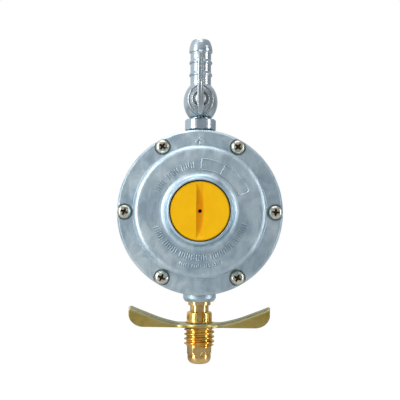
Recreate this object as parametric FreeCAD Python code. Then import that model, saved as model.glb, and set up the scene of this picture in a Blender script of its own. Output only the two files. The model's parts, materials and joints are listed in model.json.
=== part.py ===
import FreeCAD, Part
import math
import os

os.makedirs("parts", exist_ok=True)

# Frame: X right, Y to the back, Z up. The origin is on the inlet axis, at mid-thread.
# Inlet, housing centre and outlet all lie in the plane y = 0.

# Housing
HOUSING_Z = 58.0  # height of the diaphragm's centre above the inlet thread
FLANGE_R = 38.25
FLANGE_FRONT = -12.0
COVER_BACK = -9.0
BODY_FRONT = -8.0  # the diaphragm's rim fills the millimetre between the halves
BODY_FLANGE_BACK = -4.2
DOME_R = 30.4
DOME_FACE = -20.5
DOME_EDGE = 3.0
HUB_R = 14.9
HUB_FILLET = 3.6
HUB_RIM = -27.0
COVER_BORE_R = 12.97  # root of the cover's thread for the cap
COUNTERBORE_R = 13.75
COUNTERBORE_END = -21.3
CHAMBER_R = 27.5
SPRING_ROOM_FRONT = -17.8
BOWL_R = 31.0
BOWL_BACK = 10.0
BOWL_EDGE = 4.0
BOWL_FLOOR = 7.2

# Cover screws
SCREW_COUNT = 6
SCREW_RING_R = 34.7
SCREW_HEAD_R = 3.15
SCREW_HEAD_HEIGHT = 2.2
SCREW_SHANK_R = 1.75
SCREW_END = -0.4
SCREW_POCKET_R = 3.8
SCREW_POCKET_DEPTH = 0.6
SCREW_BOSS_R = 3.5
SCREW_BOSS_BACK = 1.2
RECESS_SPAN = 3.9
RECESS_ARM = 0.85
RECESS_DEPTH = 1.3
SCREW_TURNS = (40, 5, 27, 25, 22, 35)  # each recess's angle, as the screws were left

# Adjusting cap and spring
CAP_R = 13.2
CAP_FACE = -26.6
CAP_HEAD_BACK = -24.6
CAP_SKIRT_R = 12.9
CAP_SKIRT_BACK = -16.4
CAP_INNER_R = 10.7
CAP_INNER_FLOOR = -23.2
CAP_SLOT_WIDTH = 3.25
CAP_SLOT_DEPTH = 2.2
CAP_SLOT_CUTTER_R = 36.0
CAP_VENT_R = 0.85
SEAT_R = 9.9
SPRING_R = 8.2
SPRING_WIRE_R = 0.8
SPRING_COILS = 3.5
SPRING_FRONT = -22.0
SPRING_BACK = -10.6

# Diaphragm
PLATE_R = 17.5
STEM_R = 3.4
STEM_NECK_R = 2.0

# Inlet side
TUBE_R = 4.375
TUBE_BORE_R = 2.2
TUBE_TOP = 25.0
NOSE_R = 5.75
NOSE_TOP = -4.9
NOSE_STEP = -8.2
NOSE_TIP_R = 5.5
NOSE_BOTTOM = -12.7
NOSE_DOME_R = 3.0
NOSE_FLATS = 10.5
SLEEVE_BORE_R = 4.45
THREAD_R = 7.15
THREAD_ROOT_R = 6.05
THREAD_PITCH = 2.15
THREAD_TURNS = 4
THREAD_HALF = 4.3
COLLAR_R = 5.95
COLLAR_TOP = 11.7
COLLAR_SLOT = 2.9
WING_HUB_R = 8.6
WING_HUB_TOP = 6.5
WING_SPAN = 33.2
WING_DEPTH = 7.0
WING_SHEET = 1.8
# (x, z) along a wing's spine: a flat, a bend, then a long shallow curve up to the tip.
WING_SPINE = ((6.0, 6.5), (8.5, 6.5), (10.8, 6.65), (13.1, 7.1), (23.7, 10.4), (33.2, 14.1))
WING_TURN = -4.0
WING_CORNER_RUN = 7.1  # the rounded corner below each tip, inwards
WING_CORNER_RISE = 6.1
BOSS_R = 7.75
BOSS_BOTTOM = 16.4
BOSS_TOP = 30.0

# Valve and lever
NOZZLE_TOP = 38.0
NOZZLE_R = 4.2
NOZZLE_BORE_R = 1.5
PLUNGER_R = 4.4
PLUNGER_TOP = 50.2
PAD_BOTTOM = 39.1
PAD_TOP = 40.7
PIN_Y = 4.5
PIN_Z = 46.0
PIN_R = 1.25
SHORT_ARM = 4.5
LEVER_TIP_Y = -2.85

# Outlet side and tap
OUTLET_BOSS_R = 8.4
OUTLET_BOSS_TOP = 96.6
OUTLET_BORE_R = 4.3
HEX_ACROSS_FLATS = 14.0
HEX_CORNER_R = 7.35  # the corners are turned down to this
HEX_BOTTOM = 97.1
HEX_TOP = 102.5
HEX_TURN = 4.5
NECK_R = 5.0
BALL_R = 8.1
BALL_HALF_HEIGHT = 10.0
BALL_Z = 111.0
BARB_ROOT_R = 4.95
BARB_RIDGE_R = 5.58
BARB_RIDGES = (123.9, 129.8)
BULB_LOW = 134.9
BULB_HIGH = 136.1
BARB_TOP = 140.9
BARB_TIP_R = 3.3
TAP_BORE_R = 3.0
PLUG_FRONT_R = 4.7
PLUG_BACK_R = 4.1
PLUG_TAPER = 0.06
PLUG_GAP = 0.03
PLUG_NECK_R = 2.4
PLUG_END = 7.2  # the flat behind the ball, under the plug's washer

# Tap lever
LEAF_HALF_WIDTH = 6.35
LEAF_HALF_HEIGHT = 7.3
LEAF_BACK_R = 11.64  # spherical faces, each with its centre behind the ball's
LEAF_BACK_CENTRE_Y = 3.24
LEAF_FRONT_R = 13.0
LEAF_FRONT_CENTRE_Y = 3.1
LEAF_EDGE_Y = -5.4
BLADE_THICK = 2.9
BLADE_PROFILE = (
    (-8.6, -8.0), (-9.6, -8.8), (-10.9, -8.5), (-13.4, -6.4), (-15.0, -2.0), (-15.2, 5.0), (-14.6, 14.0),
    (-13.4, 21.3), (-12.4, 22.5), (-11.2, 22.7), (-10.3, 21.8), (-9.7, 15.0), (-9.3, 8.5), (-8.6, 5.0),
)  # (y, height above the ball's centre)


def vector(x, y, z):
    return FreeCAD.Vector(x, y, z)


def face_of(points):
    return Part.Face(Part.makePolygon([*points, points[0]]))


def turned_z(profile):
    """A solid turned about the inlet axis, from (radius, z) points."""
    return face_of([vector(r, 0, z) for r, z in profile]).revolve(vector(0, 0, 0), vector(0, 0, 1), 360)


def turned_y(profile, z=HOUSING_Z):
    """A solid turned about a front-to-back axis at height z, from (radius, y) points."""
    flat = face_of([vector(r, y, z) for r, y in profile])
    return flat.revolve(vector(0, 0, z), vector(0, 1, 0), 360)


def tall_ball(radius, half_height, z):
    """An upright ellipsoid about the inlet axis, centred at height z."""
    ellipse = Part.Ellipse(vector(0, 0, z + half_height), vector(radius, 0, z), vector(0, 0, z))
    arc = Part.ArcOfEllipse(ellipse, 0, math.pi)
    half = Part.Face(Part.Wire([arc.toShape(), Part.makeLine(arc.EndPoint, arc.StartPoint)]))
    return half.revolve(vector(0, 0, z), vector(0, 0, 1), 360)


def rod_y(radius, y0, y1, x=0.0, z=HOUSING_Z):
    return Part.makeCylinder(radius, y1 - y0, vector(x, y0, z), vector(0, 1, 0))


def rod_z(radius, z0, z1, x=0.0, y=0.0):
    return Part.makeCylinder(radius, z1 - z0, vector(x, y, z0))


def rod_x(radius, half, y, z):
    return Part.makeCylinder(radius, 2 * half, vector(-half, y, z), vector(1, 0, 0))


def block(x0, x1, y0, y1, z0, z1):
    return Part.makeBox(x1 - x0, y1 - y0, z1 - z0, vector(x0, y0, z0))


def arc_points(centre_r, centre_s, radius, start, end, steps=6):
    """Points on an arc in a turning profile, from start to end degrees."""
    angles = [math.radians(start + (end - start) * i / steps) for i in range(steps + 1)]
    return [(centre_r + radius * math.cos(a), centre_s + radius * math.sin(a)) for a in angles]


def rounded_edges(shape, radius, wanted):
    edges = [e for e in shape.Edges if wanted(e)]
    return shape.makeFillet(radius, edges)


def save(shape, node):
    shape.exportStep("parts/" + node + ".step")


def screw_places():
    """(x, z) of each cover screw, clockwise; the first stands at 1 o'clock."""
    places = []
    for i in range(SCREW_COUNT):
        angle = math.radians(30 + 360 * i / SCREW_COUNT)
        places.append((SCREW_RING_R * math.sin(angle), HOUSING_Z + SCREW_RING_R * math.cos(angle)))
    return places


def cover():
    dome = turned_y([
        (0, COVER_BACK), (FLANGE_R, COVER_BACK), (FLANGE_R, FLANGE_FRONT + 0.9),
        (FLANGE_R - 0.9, FLANGE_FRONT), (DOME_R + 0.6, FLANGE_FRONT), (DOME_R, FLANGE_FRONT - 0.6),
        *arc_points(DOME_R - DOME_EDGE, DOME_FACE + DOME_EDGE, DOME_EDGE, 0, -90),
        *arc_points(HUB_R + HUB_FILLET, DOME_FACE - HUB_FILLET, HUB_FILLET, 90, 180),
        *arc_points(HUB_R - 0.8, HUB_RIM + 0.8, 0.8, 0, -90, 3), (0, HUB_RIM),
    ])
    hollow = turned_y([
        (0, COVER_BACK), (CHAMBER_R, COVER_BACK), (CHAMBER_R, SPRING_ROOM_FRONT + 1.5),
        (CHAMBER_R - 1.5, SPRING_ROOM_FRONT), (COVER_BORE_R, SPRING_ROOM_FRONT),
        (COVER_BORE_R, COUNTERBORE_END), (COUNTERBORE_R, COUNTERBORE_END),
        (COUNTERBORE_R, HUB_RIM), (0, HUB_RIM),
    ])
    shape = dome.cut(hollow)
    for x, z in screw_places():
        shape = shape.cut(rod_y(SCREW_POCKET_R, DOME_FACE, FLANGE_FRONT + SCREW_POCKET_DEPTH, x, z))
        shape = shape.cut(rod_y(SCREW_SHANK_R + 0.2, FLANGE_FRONT, COVER_BACK, x, z))
    return shape.fuse(flow_arrow()).removeSplitter()


def flow_arrow():
    """The raised arrow on the flange at 12 o'clock, pointing to the outlet."""
    z = HOUSING_Z + 31.6
    y0, y1 = FLANGE_FRONT - 0.3, FLANGE_FRONT + 0.2
    chevron = ((-2.5, 0.9), (0, 3.4), (2.5, 0.9), (2.0, 0.4), (0, 2.4), (-2.0, 0.4))
    head = face_of([vector(x, y1, z + h) for x, h in chevron])
    return head.extrude(vector(0, y0 - y1, 0)).fuse(block(-0.35, 0.35, y0, y1, z - 0.4, z + 2.9))


def body_casting():
    bowl = turned_y([
        (0, BODY_FRONT), (FLANGE_R, BODY_FRONT), (FLANGE_R, BODY_FLANGE_BACK - 0.8),
        (FLANGE_R - 0.8, BODY_FLANGE_BACK), (BOWL_R, BODY_FLANGE_BACK),
        *arc_points(BOWL_R - 1.0 - BOWL_EDGE, BOWL_BACK - BOWL_EDGE, BOWL_EDGE, 0, 90),
        (0, BOWL_BACK),
    ])
    for x, z in screw_places():
        bowl = bowl.fuse(rod_y(SCREW_BOSS_R, BODY_FRONT + 1.0, SCREW_BOSS_BACK, x, z))
    bowl = bowl.fuse(rod_z(BOSS_R, BOSS_BOTTOM, BOSS_TOP).cut(
        turned_z([(BOSS_R - 1.0, BOSS_BOTTOM), (BOSS_R + 1, BOSS_BOTTOM), (BOSS_R + 1, BOSS_BOTTOM + 3.0)])))
    bowl = bowl.fuse(rod_z(OUTLET_BOSS_R, 84.0, OUTLET_BOSS_TOP))
    room = turned_y([
        (0, BODY_FRONT), (CHAMBER_R, BODY_FRONT), (CHAMBER_R, BOWL_FLOOR - 1.5),
        (CHAMBER_R - 1.5, BOWL_FLOOR), (0, BOWL_FLOOR),
    ])
    shape = bowl.cut(room).cut(block(-50, 50, BODY_FRONT - 9, BODY_FRONT, 0, 120))
    ways = [rod_z(TUBE_R, BOSS_BOTTOM, TUBE_TOP), rod_z(3.1, TUBE_TOP, 33.0),
            rod_z(OUTLET_BORE_R, 82.0, OUTLET_BOSS_TOP)]
    ways += [rod_y(SCREW_SHANK_R, BODY_FRONT, SCREW_END, x, z) for x, z in screw_places()]
    for way in ways:
        shape = shape.cut(way)
    # The tower that holds the nozzle, the plunger's guide and the lever's pin ears stand in the bowl.
    tower = rod_z(6.6, 30.0, 36.2).fuse(block(-6.6, 6.6, 0, BOWL_FLOOR + 0.5, 29.0, 36.2))
    guide = rod_z(6.2, 39.5, 42.6).fuse(block(-6.2, 6.2, 1.0, BOWL_FLOOR + 0.5, 39.5, 42.6))
    guide = guide.cut(rod_z(PLUNGER_R + 0.06, 39.0, 45.0))
    ears = [block(s * 5.0 - 1.2, s * 5.0 + 1.2, 2.2, BOWL_FLOOR + 0.5, 42.0, 48.6) for s in (-1, 1)]
    shape = shape.fuse(tower).fuse(guide).fuse(ears[0]).fuse(ears[1])
    shape = shape.cut(rod_z(NOZZLE_R, 33.0, 37.0)).cut(rod_z(3.1, 28.0, 33.0))
    shape = shape.cut(rod_z(PLUNGER_R + 0.06, 36.2, 52.0))
    return shape.cut(rod_x(PIN_R, 6.2, PIN_Y, PIN_Z)).removeSplitter()


def cover_screws():
    screws = []
    for (x, z), turn in zip(screw_places(), SCREW_TURNS):
        seat = FLANGE_FRONT + SCREW_POCKET_DEPTH
        head = turned_y([
            (0, seat), (SCREW_HEAD_R, seat), (SCREW_HEAD_R, seat - 0.8),
            *arc_points(SCREW_HEAD_R - 1.5, seat - SCREW_HEAD_HEIGHT + 1.3, 1.3, -10, -80, 3),
            (0, seat - SCREW_HEAD_HEIGHT - 0.1),
        ], 0)
        top = seat - SCREW_HEAD_HEIGHT - 0.2
        for across in ((RECESS_SPAN, RECESS_ARM), (RECESS_ARM, RECESS_SPAN)):
            w, h = across[0] / 2, across[1] / 2
            head = head.cut(block(-w, w, top, top + RECESS_DEPTH, -h, h))
        screw = head.fuse(rod_y(SCREW_SHANK_R, seat, SCREW_END, 0, 0))
        screw.rotate(vector(0, 0, 0), vector(0, 1, 0), turn)
        screw.translate(vector(x, 0, z))
        screws.append(screw)
    return Part.makeCompound(screws)


def adjusting_cap():
    shape = turned_y([
        (0, CAP_FACE), (CAP_R - 0.4, CAP_FACE), (CAP_R, CAP_FACE + 0.4), (CAP_R, CAP_HEAD_BACK),
        (CAP_SKIRT_R, CAP_HEAD_BACK), (CAP_SKIRT_R, CAP_SKIRT_BACK), (CAP_INNER_R, CAP_SKIRT_BACK),
        (CAP_INNER_R, CAP_INNER_FLOOR), (0, CAP_INNER_FLOOR),
    ])
    cutter_y = CAP_FACE + CAP_SLOT_DEPTH - CAP_SLOT_CUTTER_R
    half = CAP_SLOT_WIDTH / 2
    cutter = Part.makeCylinder(CAP_SLOT_CUTTER_R, 2 * half, vector(-half, cutter_y, HOUSING_Z), vector(1, 0, 0))
    return shape.cut(cutter).cut(rod_y(CAP_VENT_R, CAP_FACE, CAP_INNER_FLOOR))


def spring_seat():
    front = CAP_INNER_FLOOR
    return turned_y([
        (0.85, front), (SEAT_R, front), (SEAT_R, SPRING_FRONT), (SPRING_R - 1.4, SPRING_FRONT),
        (SPRING_R - 2.2, SPRING_FRONT + 1.4), (4.0, SPRING_FRONT + 1.4), (4.0, SPRING_FRONT), (0.85, SPRING_FRONT),
    ])


def main_spring():
    """An open coil, lofted through rings of wire set along its helix."""
    length = SPRING_BACK - SPRING_FRONT - 2 * SPRING_WIRE_R
    slope = math.degrees(math.atan2(length, 2 * math.pi * SPRING_R * SPRING_COILS))
    steps = int(12 * SPRING_COILS)
    rings = []
    for i in range(steps + 1):
        ring = Part.Wire(Part.makeCircle(SPRING_WIRE_R, vector(0, 0, 0), vector(0, 1, 0)))
        ring.rotate(vector(0, 0, 0), vector(1, 0, 0), slope)
        ring.translate(vector(SPRING_R, 0, 0))
        ring.rotate(vector(0, 0, 0), vector(0, 0, 1), 360 * SPRING_COILS * i / steps)
        ring.translate(vector(0, 0, length * i / steps))
        rings.append(ring)
    coil = Part.makeLoft(rings, True, False)
    coil.rotate(vector(0, 0, 0), vector(1, 0, 0), -90)
    coil.translate(vector(0, SPRING_FRONT + SPRING_WIRE_R, HOUSING_Z))
    return coil


def diaphragm():
    """A moulded rubber disc with one rolled corrugation, clamped at its rim."""
    shape = turned_y([
        (STEM_NECK_R, -9.0), (PLATE_R, -9.0), (18.6, -9.6), (20.6, -11.4), (23.4, -11.4), (25.4, -9.6), (26.4, -9.0),
        (FLANGE_R, -9.0), (FLANGE_R, -8.0), (26.4, -8.0), (24.8, -8.6), (22.9, -10.4), (21.1, -10.4), (19.2, -8.6),
        (PLATE_R, -8.0), (STEM_NECK_R, -8.0),
    ])
    for x, z in screw_places():
        shape = shape.cut(rod_y(SCREW_SHANK_R + 0.2, -9.5, -7.5, x, z))
    return shape


def diaphragm_plate():
    return turned_y([
        (STEM_NECK_R, -9.0), (STEM_NECK_R, -10.6), (SPRING_R + 1.0, -10.6), (SPRING_R + 1.2, -11.4),
        (SPRING_R + 2.0, -11.4), (SPRING_R + 2.4, -10.2), (PLATE_R - 0.6, -10.2), (PLATE_R, -9.8), (PLATE_R, -9.0),
    ])


def diaphragm_stem():
    stem = turned_y([
        (0, -14.2), (STEM_NECK_R, -14.2), (STEM_NECK_R, -8.0), (STEM_R + 2.0, -8.0), (STEM_R + 2.0, -7.0),
        (STEM_R, -7.0), (STEM_R, 1.0), (0, 1.0),
    ])
    # The long arm's rounded end sits in a slot across the stem, open at the lower side.
    return stem.cut(block(-1.6, 1.6, LEVER_TIP_Y - 1.8, LEVER_TIP_Y + 1.8, HOUSING_Z - 6, HOUSING_Z + 2.2))


def stem_nut():
    nut = hexagon_y(7.0, -13.4, -10.6)
    return nut.cut(rod_y(STEM_NECK_R, -14, -10))


def hexagon_y(across_flats, y0, y1, z=HOUSING_Z, turn=0.0):
    radius = across_flats / math.sqrt(3)
    angles = [math.radians(turn + 60 * i) for i in range(6)]
    flat = face_of([vector(radius * math.sin(a), y0, z + radius * math.cos(a)) for a in angles])
    return flat.extrude(vector(0, y1 - y0, 0))


def valve_seat():
    return turned_z([
        (NOZZLE_BORE_R, 33.0), (NOZZLE_R, 33.0), (NOZZLE_R, 36.2), (3.6, 36.2), (2.6, 37.2),
        (2.1, NOZZLE_TOP), (NOZZLE_BORE_R, NOZZLE_TOP),
    ])


def valve_plunger():
    shape = turned_z([
        (0, PAD_TOP), (3.3, PAD_TOP), (3.3, PAD_BOTTOM + 0.5), (PLUNGER_R - 0.4, PAD_BOTTOM + 0.5),
        (PLUNGER_R, PAD_BOTTOM + 0.9), (PLUNGER_R, PLUNGER_TOP), (0, PLUNGER_TOP),
    ])
    # A cross slot takes the lever's short arm, and a flat at the back clears the lever's hub.
    shape = shape.cut(block(-5, 5, 1.5, 5, 42.9, PLUNGER_TOP + 1))
    return shape.cut(block(-1.7, 1.7, -5, 5, PIN_Z - 1.55, PIN_Z + 1.55))


def valve_pad():
    return rod_z(3.3, PAD_BOTTOM, PAD_TOP)


def lever():
    """A bell crank: the short arm works the plunger, the long arm sits in the stem's slot."""
    hub = rod_x(2.4, 1.4, PIN_Y, PIN_Z)
    short = block(-1.3, 1.3, PIN_Y - SHORT_ARM, PIN_Y, PIN_Z - 0.9, PIN_Z + 0.9)
    short = short.fuse(rod_x(1.45, 1.3, PIN_Y - SHORT_ARM, PIN_Z))
    tall = block(-1.3, 1.3, PIN_Y - 1.0, PIN_Y + 1.0, PIN_Z, HOUSING_Z - 4.2)
    reach = block(-1.3, 1.3, LEVER_TIP_Y - 0.9, PIN_Y, HOUSING_Z - 6.0, HOUSING_Z - 4.2)
    tip = block(-1.3, 1.3, LEVER_TIP_Y - 0.9, LEVER_TIP_Y + 0.9, HOUSING_Z - 6.0, HOUSING_Z)
    tip = tip.fuse(rod_x(1.45, 1.3, LEVER_TIP_Y, HOUSING_Z))
    shape = hub.fuse(short).fuse(tall).fuse(reach).fuse(tip)
    return shape.cut(rod_x(PIN_R + 0.05, 3, PIN_Y, PIN_Z)).removeSplitter()


def lever_pin():
    return rod_x(PIN_R, 6.2, PIN_Y, PIN_Z)


def inlet_nipple():
    shape = turned_z([
        (TUBE_BORE_R, NOSE_BOTTOM), (NOSE_TIP_R - NOSE_DOME_R, NOSE_BOTTOM),
        *arc_points(NOSE_TIP_R - NOSE_DOME_R, NOSE_BOTTOM + NOSE_DOME_R, NOSE_DOME_R, -90, 0),
        (NOSE_TIP_R, NOSE_STEP), (NOSE_R, NOSE_STEP + 0.4), (NOSE_R, NOSE_TOP), (TUBE_R, NOSE_TOP),
        (TUBE_R, TUBE_TOP), (TUBE_BORE_R, TUBE_TOP),
    ])
    for i in range(6):
        flat = block(-2.4, 2.4, -NOSE_R - 1, -NOSE_FLATS / 2, -6.0, NOSE_TOP)
        foot = Part.makeCylinder(2.4, NOSE_R + 1 - NOSE_FLATS / 2, vector(0, -NOSE_R - 1, -6.0), vector(0, 1, 0))
        cutter = flat.fuse(foot)
        cutter.rotate(vector(0, 0, 0), vector(0, 0, 1), 60 * i - 8)
        shape = shape.cut(cutter)
    shape = shape.cut(rod_z(TUBE_BORE_R + 0.9, 20.0, TUBE_TOP))
    return shape


def inlet_filter():
    return rod_z(TUBE_BORE_R + 0.9, 20.0, 21.2)


def inlet_seal_washer():
    return turned_z([
        (TUBE_R, 14.6), (5.1, 14.6), (5.3, 14.8), (5.3, BOSS_BOTTOM), (TUBE_R, BOSS_BOTTOM),
    ])


def thrust_washer():
    return turned_z([
        (SLEEVE_BORE_R, NOSE_TOP), (5.75, NOSE_TOP), (5.75, -THREAD_HALF), (SLEEVE_BORE_R, -THREAD_HALF),
    ])


def wing_sleeve():
    """The threaded sleeve: crests and grooves at the thread's pitch, then a slotted collar on top."""
    land = 0.15
    flank = 0.85
    profile = [(SLEEVE_BORE_R, -THREAD_HALF)]
    for i in range(THREAD_TURNS):
        low = -THREAD_HALF + i * THREAD_PITCH
        high = low + THREAD_PITCH
        profile += [(THREAD_R, low + land), (THREAD_ROOT_R, low + flank), (THREAD_ROOT_R, high - flank),
                    (THREAD_R, high - land)]
    profile.insert(1, (THREAD_R, -THREAD_HALF))
    profile += [
        (THREAD_R, THREAD_HALF), (COLLAR_R, THREAD_HALF), (COLLAR_R, COLLAR_TOP - 1.2),
        (COLLAR_R - 0.5, COLLAR_TOP - 0.35), (COLLAR_R - 1.0, COLLAR_TOP), (SLEEVE_BORE_R, COLLAR_TOP),
    ]
    shape = turned_z(profile)
    half = COLLAR_SLOT / 2
    slot = block(-half, half, -8, 8, WING_HUB_TOP + 0.2, COLLAR_TOP + 1)
    slot.rotate(vector(0, 0, 0), vector(0, 0, 1), 5)
    return shape.cut(slot)


def wing_plate():
    """A pressed plate: a ring on the sleeve and two channel-shaped wings that rise to their tips."""
    low = THREAD_HALF
    ring = turned_z([
        (COLLAR_R, low), (WING_HUB_R - 0.5, low), (WING_HUB_R, low + 0.6), (WING_HUB_R, WING_HUB_TOP - 0.8),
        (WING_HUB_R - 0.8, WING_HUB_TOP), (COLLAR_R, WING_HUB_TOP),
    ])
    shape = ring
    for side in (0, 180):
        wing = wing_outside(low).cut(wing_channel(low)).cut(rod_z(COLLAR_R, low - 1, 9))
        wing.rotate(vector(0, 0, 0), vector(0, 0, 1), side)
        shape = shape.fuse(wing)
    shape = shape.removeSplitter()
    shape.rotate(vector(0, 0, 0), vector(0, 0, 1), WING_TURN)
    return shape


def spine_edges(spine):
    """The spine's line in a side view: a flat, a bend, then the long curve."""
    return [
        Part.makeLine(spine[0], spine[1]),
        Part.Arc(*spine[1:4]).toShape(),
        Part.Arc(*spine[3:6]).toShape(),
    ]


def wing_outside(low):
    """One wing as a solid slab, with its long upper edges rounded."""
    half = WING_DEPTH / 2
    spine = [vector(x, -half, z) for x, z in WING_SPINE]
    root = vector(WING_SPINE[0][0], -half, low)
    tip = vector(WING_SPAN, -half, low + WING_CORNER_RISE)
    bend = vector(WING_SPAN - 0.31 * WING_CORNER_RUN, -half, low + 0.31 * WING_CORNER_RISE)
    corner = vector(WING_SPAN - WING_CORNER_RUN, -half, low)
    edges = spine_edges(spine) + [
        Part.makeLine(spine[-1], tip),
        Part.Arc(tip, bend, corner).toShape(),
        Part.makeLine(corner, root),
        Part.makeLine(root, spine[0]),
    ]
    slab = Part.Face(Part.Wire(edges)).extrude(vector(0, WING_DEPTH, 0))
    return rounded_edges(slab, 2.0, lambda e: e.Length > 15 and e.BoundBox.ZMax > 12)


def wing_channel(low):
    """The space under a wing's spine, from the ring out past the tip."""
    half = WING_DEPTH / 2 - WING_SHEET
    spine = [vector(x, -half, z - WING_SHEET) for x, z in WING_SPINE]
    beyond = spine[-1] + vector(3.0, 0, 1.5)
    foot = vector(beyond.x, -half, low - 2)
    heel = vector(WING_SPINE[0][0], -half, low - 2)
    edges = spine_edges(spine) + [
        Part.makeLine(spine[-1], beyond),
        Part.makeLine(beyond, foot),
        Part.makeLine(foot, heel),
        Part.makeLine(heel, spine[0]),
    ]
    space = Part.Face(Part.Wire(edges)).extrude(vector(0, 2 * half, 0))
    return space.common(block(WING_HUB_R + 0.6, beyond.x + 1, -9, 9, low - 3, 30))


def tap_gasket():
    return turned_z([
        (OUTLET_BORE_R, OUTLET_BOSS_TOP), (6.0, OUTLET_BOSS_TOP), (6.0, HEX_BOTTOM), (OUTLET_BORE_R, HEX_BOTTOM),
    ])


def barb_profile():
    points = []
    for z in BARB_RIDGES:
        points += [(BARB_ROOT_R, z - 0.75), (BARB_RIDGE_R - 0.15, z - 0.45), (BARB_RIDGE_R, z),
                   (BARB_RIDGE_R - 0.2, z + 0.4), (BARB_ROOT_R, z + 1.3)]
    points += [
        (BARB_ROOT_R, BULB_LOW - 0.5), (BARB_RIDGE_R, BULB_LOW), (BARB_RIDGE_R, BULB_HIGH),
        (5.35, BULB_HIGH + 1.4), (4.95, BULB_HIGH + 2.8), (4.45, BULB_HIGH + 4.0), (3.95, BULB_HIGH + 4.6),
        (BARB_TIP_R, BARB_TOP),
    ]
    return points


def tap_body():
    """The one-piece casting: hex, neck, ball and hose barb, with a bore right through."""
    radius = HEX_ACROSS_FLATS / math.sqrt(3)
    angles = [math.radians(HEX_TURN + 60 * i) for i in range(6)]
    hexagon = face_of([vector(radius * math.cos(a), radius * math.sin(a), HEX_BOTTOM) for a in angles])
    hexagon = hexagon.extrude(vector(0, 0, HEX_TOP - HEX_BOTTOM))
    chamfer = 0.55
    corners = turned_z([
        (0, HEX_BOTTOM), (HEX_CORNER_R - chamfer, HEX_BOTTOM), (HEX_CORNER_R, HEX_BOTTOM + chamfer),
        (HEX_CORNER_R, HEX_TOP - chamfer), (HEX_CORNER_R - chamfer, HEX_TOP), (0, HEX_TOP),
    ])
    stem = turned_z([
        (0, 87.0), (OUTLET_BORE_R, 87.0), (OUTLET_BORE_R, HEX_BOTTOM), (NECK_R, HEX_BOTTOM), (NECK_R, 106.0),
        (BARB_ROOT_R, 117.0), *barb_profile(), (0, BARB_TOP),
    ])
    ball = tall_ball(BALL_R, BALL_HALF_HEIGHT, BALL_Z)
    end = rod_y(5.6, 0, PLUG_END, 0, BALL_Z)
    shape = hexagon.common(corners).fuse(stem).fuse(ball).fuse(end).removeSplitter()
    shape = shape.cut(rod_y(6.4, PLUG_END, BALL_R + 1, 0, BALL_Z))
    shape = shape.cut(rod_z(TAP_BORE_R, 83.0, BARB_TOP + 1))
    socket = Part.makeCone(plug_radius(-9), plug_radius(9), 18, vector(0, -9, BALL_Z), vector(0, 1, 0))
    return shape.cut(socket)


def plug_radius(y):
    """Radius of the plug's tapered seat at y."""
    return (PLUG_FRONT_R + PLUG_BACK_R) / 2 - PLUG_TAPER * y


def plug_washer():
    return turned_y([(PLUG_NECK_R, PLUG_END), (5.0, PLUG_END), (5.0, 7.9), (PLUG_NECK_R, 7.9)], BALL_Z)


def plug_spring():
    return turned_y([(PLUG_NECK_R, 7.9), (4.6, 7.9), (3.6, 9.0), (PLUG_NECK_R, 9.0)], BALL_Z)


def plug_nut():
    return hexagon_y(8.0, 9.0, 11.2, BALL_Z).cut(rod_y(PLUG_NECK_R, 8, 12, 0, BALL_Z))


def leaf():
    """The lever's foot: a pointed oval shell that hugs the ball's front."""
    w, h = LEAF_HALF_WIDTH, LEAF_HALF_HEIGHT
    low, high = vector(0, -14, BALL_Z - h - 0.6), vector(0, -14, BALL_Z + h + 0.6)
    right = Part.Arc(low, vector(w, -14, BALL_Z), high).toShape()
    left = Part.Arc(low, vector(-w, -14, BALL_Z), high).toShape()
    outline = Part.Face(Part.Wire([right, left])).extrude(vector(0, 13, 0))
    shell = Part.makeSphere(LEAF_FRONT_R, vector(0, LEAF_FRONT_CENTRE_Y, BALL_Z))
    shell = shell.common(block(-9, 9, -14, LEAF_EDGE_Y, BALL_Z - 12, BALL_Z + 12))
    return outline.common(shell)


def tap_lever():
    """The lever and its tapered plug, one casting; the plug's cross hole is in line when open."""
    front = plug_radius(-6.2) - PLUG_GAP
    shape = leaf().fuse(turned_y([(0, -7.0), (4.3, -7.0), (4.3, -9.6), (3.4, -11.0), (0, -11.6)], BALL_Z))
    half = BLADE_THICK / 2
    blade = face_of([vector(-half, y, BALL_Z + z) for y, z in BLADE_PROFILE]).extrude(vector(BLADE_THICK, 0, 0))
    sides = face_of([vector(x, -17, BALL_Z + z) for x, z in (
        (-1.1, -9), (-half, 0), (-1.1, 23), (1.1, 23), (half, 0), (1.1, -9))]).extrude(vector(0, 12, 0))
    shape = shape.fuse(blade.common(sides))
    shape = shape.cut(Part.makeSphere(LEAF_BACK_R, vector(0, LEAF_BACK_CENTRE_Y, BALL_Z)))
    plug = turned_y([
        (0, -8.6), (3.9, -8.6), (3.9, -6.2), (front, -6.2), (plug_radius(6.6) - PLUG_GAP, 6.6),
        (PLUG_NECK_R, 6.6), (PLUG_NECK_R, 11.6), (0, 11.6),
    ], BALL_Z)
    plug = plug.cut(rod_z(TAP_BORE_R - 0.4, BALL_Z - 8, BALL_Z + 8))
    return shape.fuse(plug).removeSplitter()


PARTS = {
    "cover": cover,
    "body_casting": body_casting,
    "cover_screws": cover_screws,
    "adjusting_cap": adjusting_cap,
    "spring_seat": spring_seat,
    "main_spring": main_spring,
    "diaphragm": diaphragm,
    "diaphragm_plate": diaphragm_plate,
    "diaphragm_stem": diaphragm_stem,
    "stem_nut": stem_nut,
    "valve_seat": valve_seat,
    "valve_plunger": valve_plunger,
    "valve_pad": valve_pad,
    "lever": lever,
    "lever_pin": lever_pin,
    "inlet_nipple": inlet_nipple,
    "inlet_filter": inlet_filter,
    "inlet_seal_washer": inlet_seal_washer,
    "thrust_washer": thrust_washer,
    "wing_sleeve": wing_sleeve,
    "wing_plate": wing_plate,
    "tap_gasket": tap_gasket,
    "tap_body": tap_body,
    "plug_washer": plug_washer,
    "plug_spring": plug_spring,
    "plug_nut": plug_nut,
    "tap_lever": tap_lever,
}

for node, build in PARTS.items():
    save(build(), node)
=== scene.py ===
import json
import math

import bmesh
import bpy
from mathutils import Matrix, Vector

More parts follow.
